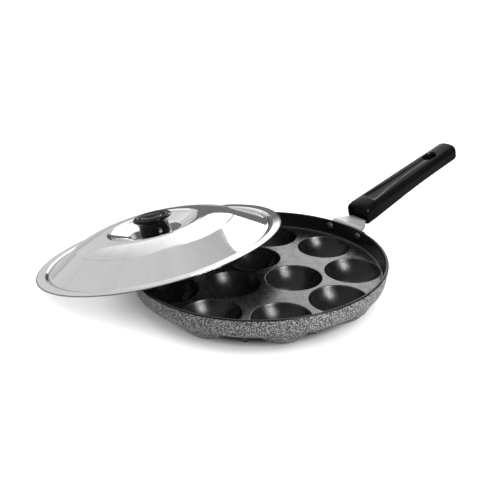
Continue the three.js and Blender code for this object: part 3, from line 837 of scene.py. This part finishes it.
def grip():
    xs = [0, 0.1, 0.3, 0.6, 1.0, 1.5, 2.2, 3, 4, 5, 6, 7.5, 9, 12, 15, 16.5, 17.2]
    xs += list(np.arange(17.6, 24.1, 0.5)) + list(np.arange(25, 96, 2.0)) + list(np.arange(96, 128, 1.0))
    xs += list(np.arange(129, 143, 2.0)) + [143, 143.6, 144.2, 144.8, 145.4, 146, 146.6, 147.1, 147.5, 147.9, 148.2, 148.5, 148.7, 148.85, 148.95, 149]
    rings = [[(x, y, z) for y, z in grip_section(float(x))] for x in xs]
    ob = prism("grip_moulding", rings, GRIP_PLASTIC, GRIP)

    # socket for the bracket's tongue, under a hooded mouth
    mouth = []
    for x, hy, hz, r, zc in ((-2, 11.2, 1.8, 0.9, -7.05), (0.3, 11.0, 1.55, 0.8, -7.05), (0.9, 10.75, 1.3, 0.6, -7.1), (1.5, 10.7, 1.25, 0.5, -7.1), (41, 10.7, 1.25, 0.5, -7.1)):
        mouth.append([(x, y, z) for y, z in round_box(hy, hz, r, zc)])
    socket = prism("socket_cutter", mouth, GRIP_PLASTIC, GRIP)
    face = []
    for x, g in ((-2, 0.7), (0.2, 0.6), (0.5, 0.3), (0.9, 0.1), (1.4, 0.0), (3.0, 0.0)):
        face.append([(x, y, z) for y, z in round_box(10.2 + g, 4.6 + g, 2.6 + g, -0.9)])
    recess = prism("face_cutter", face, GRIP_PLASTIC, GRIP)
    pocket = prism("pocket_cutter", [[(x, y, z) for y, z in round_box(3.9, 1.9, 0.3, -4.2, 3)] for x in (21.1, 28.9)], GRIP_PLASTIC, GRIP)

    levels = []
    for z, grow in ((-12, 3.4), (-7.6, 1.5), (-7.1, 0.7), (-6.4, 0.2), (-5.4, 0.0), (5.4, 0.0), (6.3, 0.15), (7.0, 0.4), (7.6, 0.8), (8.1, 1.3), (12, 4.5)):
        levels.append([(x, y, z) for x, y in stadium(112.8, 118.2, 4.8 + grow, 4.8 + grow, 24)])
    hole = prism("slot_cutter", levels, GRIP_PLASTIC, GRIP)

    v, f, _ = lathe([(0, -16), (5.2, -16), (5.2, -10.2), (4.7, -9.75), (4.5, -9.3), (4.5, -8.15), (0, -8.15)], 48)
    bore = piece("bore_cutter", v, f, [GRIP_PLASTIC], GRIP @ Matrix.Translation(Vector((25, 0, 0)) * MM))
    cut(ob, [recess, socket, pocket, hole, bore])
    return shade(ob, 34)


# -------------------------------------------------------------------- fasteners
def cross_recess(matrix, top, depth, size, up):
    """Cutter for a cross-shaped drive recess, open towards up."""
    v, f = [], []
    for turn in (0, 1):
        o = len(v)
        w, l = 0.42, size
        pts = []
        for z, k in ((top + up * 0.5, 1.08), (top - up * depth, 0.62)):
            for sx, sy in ((-1, -1), (1, -1), (1, 1), (-1, 1)):
                x, y = sx * l * k, sy * w * (0.6 + 0.4 * k)
                pts.append((x, y, z) if turn == 0 else (-y, x, z))
        v += pts
        f += [[o + i for i in q] for q in ((0, 1, 2, 3), (7, 6, 5, 4), (0, 4, 5, 1), (1, 5, 6, 2), (2, 6, 7, 3), (3, 7, 4, 0))]
    return [
        piece("recess_a", v[:8], f[:6], [PLATED], matrix),
        piece("recess_b", v[8:], [[i - 8 for i in q] for q in f[6:]], [PLATED], matrix),
    ]


def handle_screw():
    m = GRIP @ Matrix.Translation(Vector((25, 0, 0)) * MM)
    prof = rounded([(0, -10.5), (2.4, -10.5, 0.7), (3.8, -9.9, 0.45), (3.8, -9.15, 0.12), (2.0, -9.15, 0.1), (2.0, -3.05), (1.6, -2.75), (0, -2.75)], 6)
    v, f, _ = lathe(prof, 48)
    ob = piece("screw_handle", v, f, [PLATED], m)
    cut(ob, cross_recess(m, -10.5, 0.95, 1.7, -1))
    return shade(ob, 40)


def handle_washer():
    m = GRIP @ Matrix.Translation(Vector((25, 0, 0)) * MM)
    prof = rounded([(2.3, -8.65), (2.3, -9.0, 0.12), (4.2, -9.0, 0.16), (4.2, -8.3, 0.16), (2.3, -8.3, 0.12), (2.3, -8.55)], 4)
    return turned("washer_handle", prof, 48, [PLATED], m, closed=True)


def handle_nut():
    m = GRIP @ Matrix.Translation(Vector((25, 0, 0)) * MM)
    levels = []
    for z, d in ((-5.9, 0.35), (-5.55, 0.0), (-3.05, 0.0), (-2.7, 0.35)):
        levels.append([(x, y, z) for x, y in round_box(3.5 - d, 3.5 - d, 0.5, 0.0, 4)])
    ob = prism("nut_handle", levels, PLATED, m)
    v, f, _ = lathe([(0, -8), (2.6, -8), (2.6, -5.9), (2.15, -5.45), (2.15, -3.15), (2.6, -2.7), (2.6, -1), (0, -1)], 32)
    cut(ob, [piece("nut_bore", v, f, [PLATED], m)])
    return shade(ob, 35)


def knob_screw():
    prof = rounded([(0, 10.0), (2.2, 10.0, 0.8), (3.8, 11.3, 0.7), (3.8, 12.4, 0.15), (1.95, 12.4, 0.1), (1.95, 22.7), (1.55, 23.0), (0, 23.0)], 6)
    v, f, _ = lathe(prof, 48)
    ob = piece("screw_knob", v, f, [PLATED], LID)
    cut(ob, cross_recess(LID, 10.0, 1.1, 1.75, -1))
    return shade(ob, 40)


def knob_washer():
    prof = rounded([(2.4, 13.1), (2.4, 12.7, 0.15), (6.0, 12.7, 0.2), (6.0, 13.5, 0.2), (2.4, 13.5, 0.15), (2.4, 13.2)], 4)
    return turned("washer_knob", prof, 64, [PLATED], LID, closed=True)


def knob_insert():
    prof = [(2.2, 15.0)]
    outer = [(2.5, 14.95), (3.6, 14.95), (3.9, 15.25)]
    z = 15.9
    while z < 23.8:
        outer += [(3.9, z), (3.45, z + 0.3), (3.45, z + 0.9), (3.9, z + 1.2)]
        z += 2.2
    outer += [(3.9, 24.5), (3.6, 24.85), (2.5, 24.85), (2.2, 24.6)]
    return turned("insert_knob", prof + outer, 40, [BRASS], LID, closed=True, angle=30)


# -------------------------------------------------------------------- lid and knob
def lid_profile():
    pts = np.array(
        [(2.4, 14.5), (24.9, 14.5), (27.0, 14.95), (39.8, 19.6), (42.4, 20.9), (46, 21.5), (52, 21.3), (60, 20.3), (69, 18.0),
         (77.05, 15.33), (105.9, -0.7), (107.1, -0.95), (108.7, -0.85), (109.9, -0.2), (111.0, 0.35), (112.0, 0.47), (119.65, 0.32)]
    )
    step = 0.05
    r = np.arange(2.4, 119.65 + 1e-6, step)
    z = np.interp(r, pts[:, 0], pts[:, 1])

    def blur(sigma):
        k = int(3 * sigma / step) + 1
        w = np.exp(-0.5 * (np.arange(-k, k + 1) * step / sigma) ** 2)
        w /= w.sum()
        head, tail = 2 * z[0] - z[k:0:-1], 2 * z[-1] - z[-2 : -k - 2 : -1]
        return np.convolve(np.r_[head, z, tail], w, "valid")

    wide = smoothstep(r, 46.5, 51.0) * (1 - smoothstep(r, 69.0, 74.0))
    return np.c_[r, blur(0.55) * (1 - wide) + blur(3.2) * wide]


def lid_shell():
    t = 0.7
    top = lid_profile()
    top = thin_out(top, 1.6, 2.2)
    d = np.gradient(top, axis=0)
    d /= np.linalg.norm(d, axis=1)[:, None]
    low = top + t * np.c_[d[:, 1], -d[:, 0]]
    low[0] = (2.4, 14.5 - t)
    # rolled outer edge
    c = (top[-1] + low[-1]) / 2
    u = d[-1]
    v = (top[-1] - low[-1]) / t
    roll = []
    for k in range(1, 8):
        a = math.pi * k / 8
        roll.append(c + (t / 2) * (u * math.sin(a) - v * math.cos(a)))
    loop = [tuple(p) for p in low] + [tuple(p) for p in roll] + [tuple(p) for p in top[::-1]]
    return turned("lid_pressing", loop, 256, [LID_STEEL], LID, closed=True, angle=50)


def knob():
    b = 14.62
    prof = rounded(
        [(0, b + 10.6), (4.2, b + 10.6, 0.3), (4.2, b, 0.3), (14.9, b, 0.5), (15.45, b + 0.9, 0.5), (14.8, b + 2.8, 2.5), (14.3, b + 5.8, 6.0),
         (14.7, b + 8.6, 5.0), (16.1, b + 11.0, 3.0), (17.7, b + 12.2, 0.9), (18.8, b + 13.2, 0.6), (18.7, b + 14.5, 0.6), (17.5, b + 15.3, 0.7),
         (15.6, b + 15.3, 0.8), (13.6, b + 14.6, 1.2), (10.9, b + 14.5, 0.4), (10.3, b + 14.05, 0.4), (9.4, b + 14.05, 0.4), (8.6, b + 14.7, 0.8), (5.0, b + 14.9, 2.0), (0, b + 14.95)],
        6,
    )
    return turned("knob_moulding", prof, 128, [KNOB_PLASTIC], LID, angle=46)


place(pan_casting(), "pan", "pan_coating", "pan_body")
place(bracket(), "pan", "bracket_metal", "handle_bracket")
place(rivet(1, "rivet_a"), "pan", "rivet_metal", "bracket_rivet_1")
place(rivet(-1, "rivet_b"), "pan", "rivet_metal", "bracket_rivet_2")
place(grip(), "pan", "grip_plastic", "handle_grip")
place(handle_screw(), "pan", "fastener_steel", "handle_screw")
place(handle_washer(), "pan", "fastener_steel", "handle_washer")
place(handle_nut(), "pan", "fastener_steel", "handle_nut")
place(lid_shell(), "lid", "lid_steel", "lid_shell")
place(knob(), "lid", "knob_plastic", "lid_knob")
place(knob_insert(), "lid", "insert_brass", "knob_insert")
place(knob_screw(), "lid", "fastener_steel", "knob_screw")
place(knob_washer(), "lid", "fastener_steel", "knob_washer")


# ------------------------------------------------------------------ camera
# The camera was solved in a frame on the pan's axis at the rim, looking along +Y.
TURN = Matrix.Rotation(-40.5 * DEG, 3, "Z")
RIM = Vector((-57.594648, -51.96509171, 35.5)) * MM


def from_view(p):
    """A point, in metres, of the camera's own level frame: x to the right, y away, z up from the rim."""
    return TURN @ Vector(p) + RIM


def camera():
    e, yaw, pitch, roll, dist = 0.433577595261851, 0.012249401012064658, 0.010235638252708035, 0.015095898033935627, 0.6786791081721422
    fwd, right = Vector((0, math.cos(e), -math.sin(e))), Vector((1, 0, 0))
    up = right.cross(fwd)
    turn = Matrix.Rotation(yaw, 3, up)
    fwd, right = turn @ fwd, turn @ right
    fwd = Matrix.Rotation(pitch, 3, right) @ fwd
    up = right.cross(fwd)
    turn = Matrix.Rotation(roll, 3, fwd)
    right, up = turn @ right, turn @ up
    data = bpy.data.cameras.new("camera")
    data.sensor_fit = "HORIZONTAL"
    data.sensor_width = 36.0
    data.lens = 54.26597
    data.clip_start = 0.01
    data.clip_end = 50.0
    ob = bpy.data.objects.new("camera", data)
    bpy.context.scene.collection.objects.link(ob)
    m = Matrix((TURN @ right, TURN @ up, TURN @ -fwd)).transposed().to_4x4()
    m.translation = from_view((0, -dist * math.cos(e), dist * math.sin(e)))
    ob.matrix_world = m
    bpy.context.scene.camera = ob


camera()


# ------------------------------------------------------------------ studio
def floor():
    p = Paint("floor_paper", Metallic=0.0, Roughness=0.9)
    p.bsdf.inputs["Specular IOR Level"].default_value = 0.1
    paper = p.ramp(p.noise(3.0, 2.0, 0.5), (0.3, (0.905, 0.905, 0.91)), (0.7, (0.925, 0.925, 0.93)))
    seen = p.node("ShaderNodeLightPath").outputs["Is Camera Ray"]
    r, a, z = p.radial()
    # painted shadow: the floor the camera sees turns near black under the pan
    paper = p.mix(p.ramp(p.span(r, 0.0, 0.2, 0.0, 1.0), (0.425, 0.0), (0.475, 1.0)), (0.09, 0.09, 0.09), paper)
    # painted shade and light: in reflections and bounce the floor is 0.15 under the pan, 0.6 to 0.66 round it and 0.36
    # further out, darker than the camera sees it
    p.to("Base Color", p.mix(seen, p.ramp(p.span(r, 0.0, 0.4, 0.0, 1.0), (0.21, 0.15), (0.29, 0.6), (0.375, 0.66), (0.475, 0.36)), paper))
    v, f, _ = lathe([(0.0, 0.0), (600.0, 0.0), (2000.0, 0.0), (6000.0, 0.0)], 64)
    ob = piece("floor", v, f, [p.mat], PAN)
    if ob.data.polygons[0].normal.z < 0:
        ob.data.flip_normals()
    return ob


def heading(azimuth, elevation, distance, centre=(0.0, 0.0, 0.0)):
    """A point of the camera's level frame, by its direction and distance from another."""
    a, e = azimuth * DEG, elevation * DEG
    return (
        centre[0] + distance * math.sin(a) * math.cos(e),
        centre[1] + distance * math.cos(a) * math.cos(e),
        centre[2] + distance * math.sin(e),
    )


def softbox(name, at, aim, width, height, power):
    """A rectangular soft light at a point of the camera's level frame, aimed at another."""
    data = bpy.data.lights.new(name, "AREA")
    data.shape = "RECTANGLE"
    data.size, data.size_y = width, height
    data.energy = power
    ob = bpy.data.objects.new(name, data)
    bpy.context.scene.collection.objects.link(ob)
    a, b = from_view(at), from_view(aim)
    ob.matrix_world = Matrix.Translation(a) @ (b - a).to_track_quat("-Z", "Y").to_matrix().to_4x4()
    ob.visible_camera = False
    return ob


def lights_only(light, obj, state):
    """Keeps a light to one object, or off it."""
    c = bpy.data.collections.new(light.name + "_receivers")
    c.objects.link(obj)
    light.light_linking.receiver_collection = c
    c.collection_objects[0].light_linking.link_state = state


def passes(light, names):
    """Lets a light through some objects, which then throw no shadow from it."""
    c = bpy.data.collections.new(light.name + "_blockers")
    for name in names:
        c.objects.link(bpy.data.objects[name])
    light.light_linking.blocker_collection = c
    for item in c.collection_objects:
        item.light_linking.link_state = "EXCLUDE"


def screen(name, centre, distance, azimuths, low, high, rows):
    """A patch of a sphere around a point, between a low and a high edge, each a list of azimuths and one of elevations."""
    verts, faces = [], []
    columns = len(azimuths) - 1
    for j in range(rows + 1):
        for az in azimuths:
            el = np.interp(az, *low) * (1 - j / rows) + np.interp(az, *high) * j / rows
            verts.append(tuple(from_view(heading(az, float(el), distance, centre))))
    for j in range(rows):
        for i in range(columns):
            a = j * (columns + 1) + i
            faces.append((a, a + columns + 1, a + columns + 2, a + 1))
    me = bpy.data.meshes.new(name)
    me.from_pydata(verts, [], faces)
    middle = from_view(centre)
    if (middle - Vector(verts[0])).dot(me.polygons[0].normal) < 0:
        me.flip_normals()
    ob = bpy.data.objects.new(name, me)
    bpy.context.scene.collection.objects.link(ob)
    ob.visible_camera = False
    return ob


def light_wall(name, centre, distance, low, high, glow):
    """A wall of soft light whose brightness goes by azimuth as glow gives it."""
    azimuths, rows = np.linspace(low[0][0], low[0][-1], 181), 12
    ob = screen(name, centre, distance, azimuths, low, high, rows)
    values = np.tile(np.interp(azimuths, *glow), rows + 1)
    layer = ob.data.attributes.new("glow", "FLOAT", "POINT")
    layer.data.foreach_set("value", values.astype(np.float32))
    mat = bpy.data.materials.new(name)
    mat.use_nodes = True
    nt = mat.node_tree
    nt.nodes.clear()
    out = nt.nodes.new("ShaderNodeOutputMaterial")
    emit = nt.nodes.new("ShaderNodeEmission")
    value = nt.nodes.new("ShaderNodeAttribute")
    value.attribute_name = "glow"
    side = nt.nodes.new("ShaderNodeNewGeometry")
    front = nt.nodes.new("ShaderNodeMath")
    front.operation = "SUBTRACT"
    front.inputs[0].default_value = 1.0
    times = nt.nodes.new("ShaderNodeMath")
    times.operation = "MULTIPLY"
    nt.links.new(side.outputs["Backfacing"], front.inputs[1])
    nt.links.new(value.outputs["Fac"], times.inputs[0])
    nt.links.new(front.outputs[0], times.inputs[1])
    nt.links.new(times.outputs[0], emit.inputs["Strength"])
    nt.links.new(emit.outputs[0], out.inputs[0])
    ob.data.materials.append(mat)
    ob.visible_shadow = False
    return ob


def dark_card(name, centre, distance, low, high, grey):
    """A dark card that only shows in reflections."""
    p = Paint(name, Metallic=0.0, Roughness=1.0)
    p.to("Base Color", p.ramp(p.noise(4.0), (0.3, grey * 0.9), (0.7, grey * 1.1)))
    ob = screen(name, centre, distance, np.linspace(low[0][0], low[0][-1], 25), low, high, 4)
    ob.data.materials.append(p.mat)
    ob.visible_diffuse = ob.visible_shadow = ob.visible_transmission = False
    return ob


def studio_world():
    world = bpy.data.worlds.new("studio")
    bpy.context.scene.world = world
    world.use_nodes = True
    nt = world.node_tree
    sky = nt.nodes["Background"]
    coord = nt.nodes.new("ShaderNodeTexCoord")
    lean = nt.nodes.new("ShaderNodeVectorMath")
    lean.operation = "DOT_PRODUCT"
    lean.inputs[1].default_value = TURN @ Vector((-1.5, 0.6, 0.9))
    span = nt.nodes.new("ShaderNodeMapRange")
    span.interpolation_type = "SMOOTHSTEP"
    for k, v in zip(("From Min", "From Max", "To Min", "To Max"), (-0.35, 1.4, 0.13, 0.79)):
        span.inputs[k].default_value = v
    seen = nt.nodes.new("ShaderNodeLightPath")
    pick = nt.nodes.new("ShaderNodeMix")
    pick.inputs[3].default_value = 1.0
    nt.links.new(coord.outputs["Generated"], lean.inputs[0])
    nt.links.new(lean.outputs["Value"], span.inputs["Value"])
    nt.links.new(seen.outputs["Is Camera Ray"], pick.inputs[0])
    nt.links.new(span.outputs[0], pick.inputs[2])
    nt.links.new(pick.outputs[0], sky.inputs["Strength"])
    sky.inputs["Color"].default_value = (1.0, 1.0, 1.0, 1.0)


FLOOR = floor()
studio_world()

LID_MIDDLE = (-0.06, 0.06, 0.0)
wall = light_wall(
    "back_wall", LID_MIDDLE, 2.8,
    ([-36, -13.7, -12.4, -5, 36], [15, 15, 11, 10.6, 10.8]),
    ([-36, -2, 3, 8, 13, 15, 16.4, 17.2, 18.3, 19, 25, 36], [45, 45, 41, 38, 36.5, 37, 39.8, 43.2, 47.7, 49, 50, 52]),
    ([-36, -28, -23, -15, -8, 0, 2.6, 3.8, 7.4, 8.6, 12, 36], [0.79, 1.02, 1.12, 1.32, 1.8, 2.7, 3.0, 0.25, 0.25, 3.5, 3.7, 4.0]),
)
dark_card("back_card", LID_MIDDLE, 0.5, ([-16.5, 70], [-4, -4]), ([-16.5, 70], [10, 10]), 0.14)
dark_card("far_card", LID_MIDDLE, 2.6, ([-16.5, 40], [0.2, 0.2]), ([-16.5, -13.2, -10, 40], [8.4, 9.6, 10.0, 10.2]), 0.16)
dark_card("left_card", LID_MIDDLE, 1.6, ([-44.5, -42], [12, 12]), ([-44.5, -42], [44, 44]), 0.45)
key = softbox("front_softbox", heading(135.0, 38.0, 1.3), (0.0, 0.0, 0.0), 0.5, 0.8, 34.0)
lights_only(key, FLOOR, "EXCLUDE")
LID_PIECES = ("lid_pressing", "knob_moulding", "insert_knob", "screw_knob", "washer_knob")
side = softbox("floor_side", heading(140.0, 36.0, 2.5), (0.0, 0.0, 0.0), 2.5, 2.5, 82.0)
side.visible_glossy = False
lights_only(side, FLOOR, "INCLUDE")
passes(side, LID_PIECES)
fill = softbox("floor_fill", (0.0, 0.0, 2.5), (0.0, 0.0, 0.0), 6.0, 6.0, 104.0)
fill.visible_glossy = False
fill.data.use_shadow = False
lights_only(fill, FLOOR, "INCLUDE")
# the grip, the knob and the plate have soft lights of their own at the back
lights_only(wall, bpy.data.objects["grip_moulding"], "EXCLUDE")
grip_light = softbox("grip_softbox", heading(0.0, 24.0, 1.6, (0.12, 0.12, 0.05)), (0.12, 0.12, 0.05), 2.4, 2.0, 22.0)
lights_only(grip_light, bpy.data.objects["grip_moulding"], "INCLUDE")
grip_strip = softbox("grip_strip", heading(-1.0, 10.0, 1.5, (0.12, 0.12, 0.05)), (0.12, 0.12, 0.05), 2.0, 0.52, 9.5)
lights_only(grip_strip, bpy.data.objects["grip_moulding"], "INCLUDE")
knob_light = softbox("knob_softbox", heading(12.0, 19.0, 2.2, LID_MIDDLE), LID_MIDDLE, 0.9, 0.36, 5.5)
lights_only(knob_light, bpy.data.objects["knob_moulding"], "INCLUDE")
plate_light = softbox("plate_softbox", heading(5.6, 25.0, 2.7, LID_MIDDLE), LID_MIDDLE, 0.42, 1.3, 3.6)
lights_only(plate_light, bpy.data.objects["pan_casting"], "INCLUDE")

view = bpy.context.scene.view_settings
view.view_transform = "Standard"
view.look = "None"
view.exposure = 0.0
view.gamma = 1.0
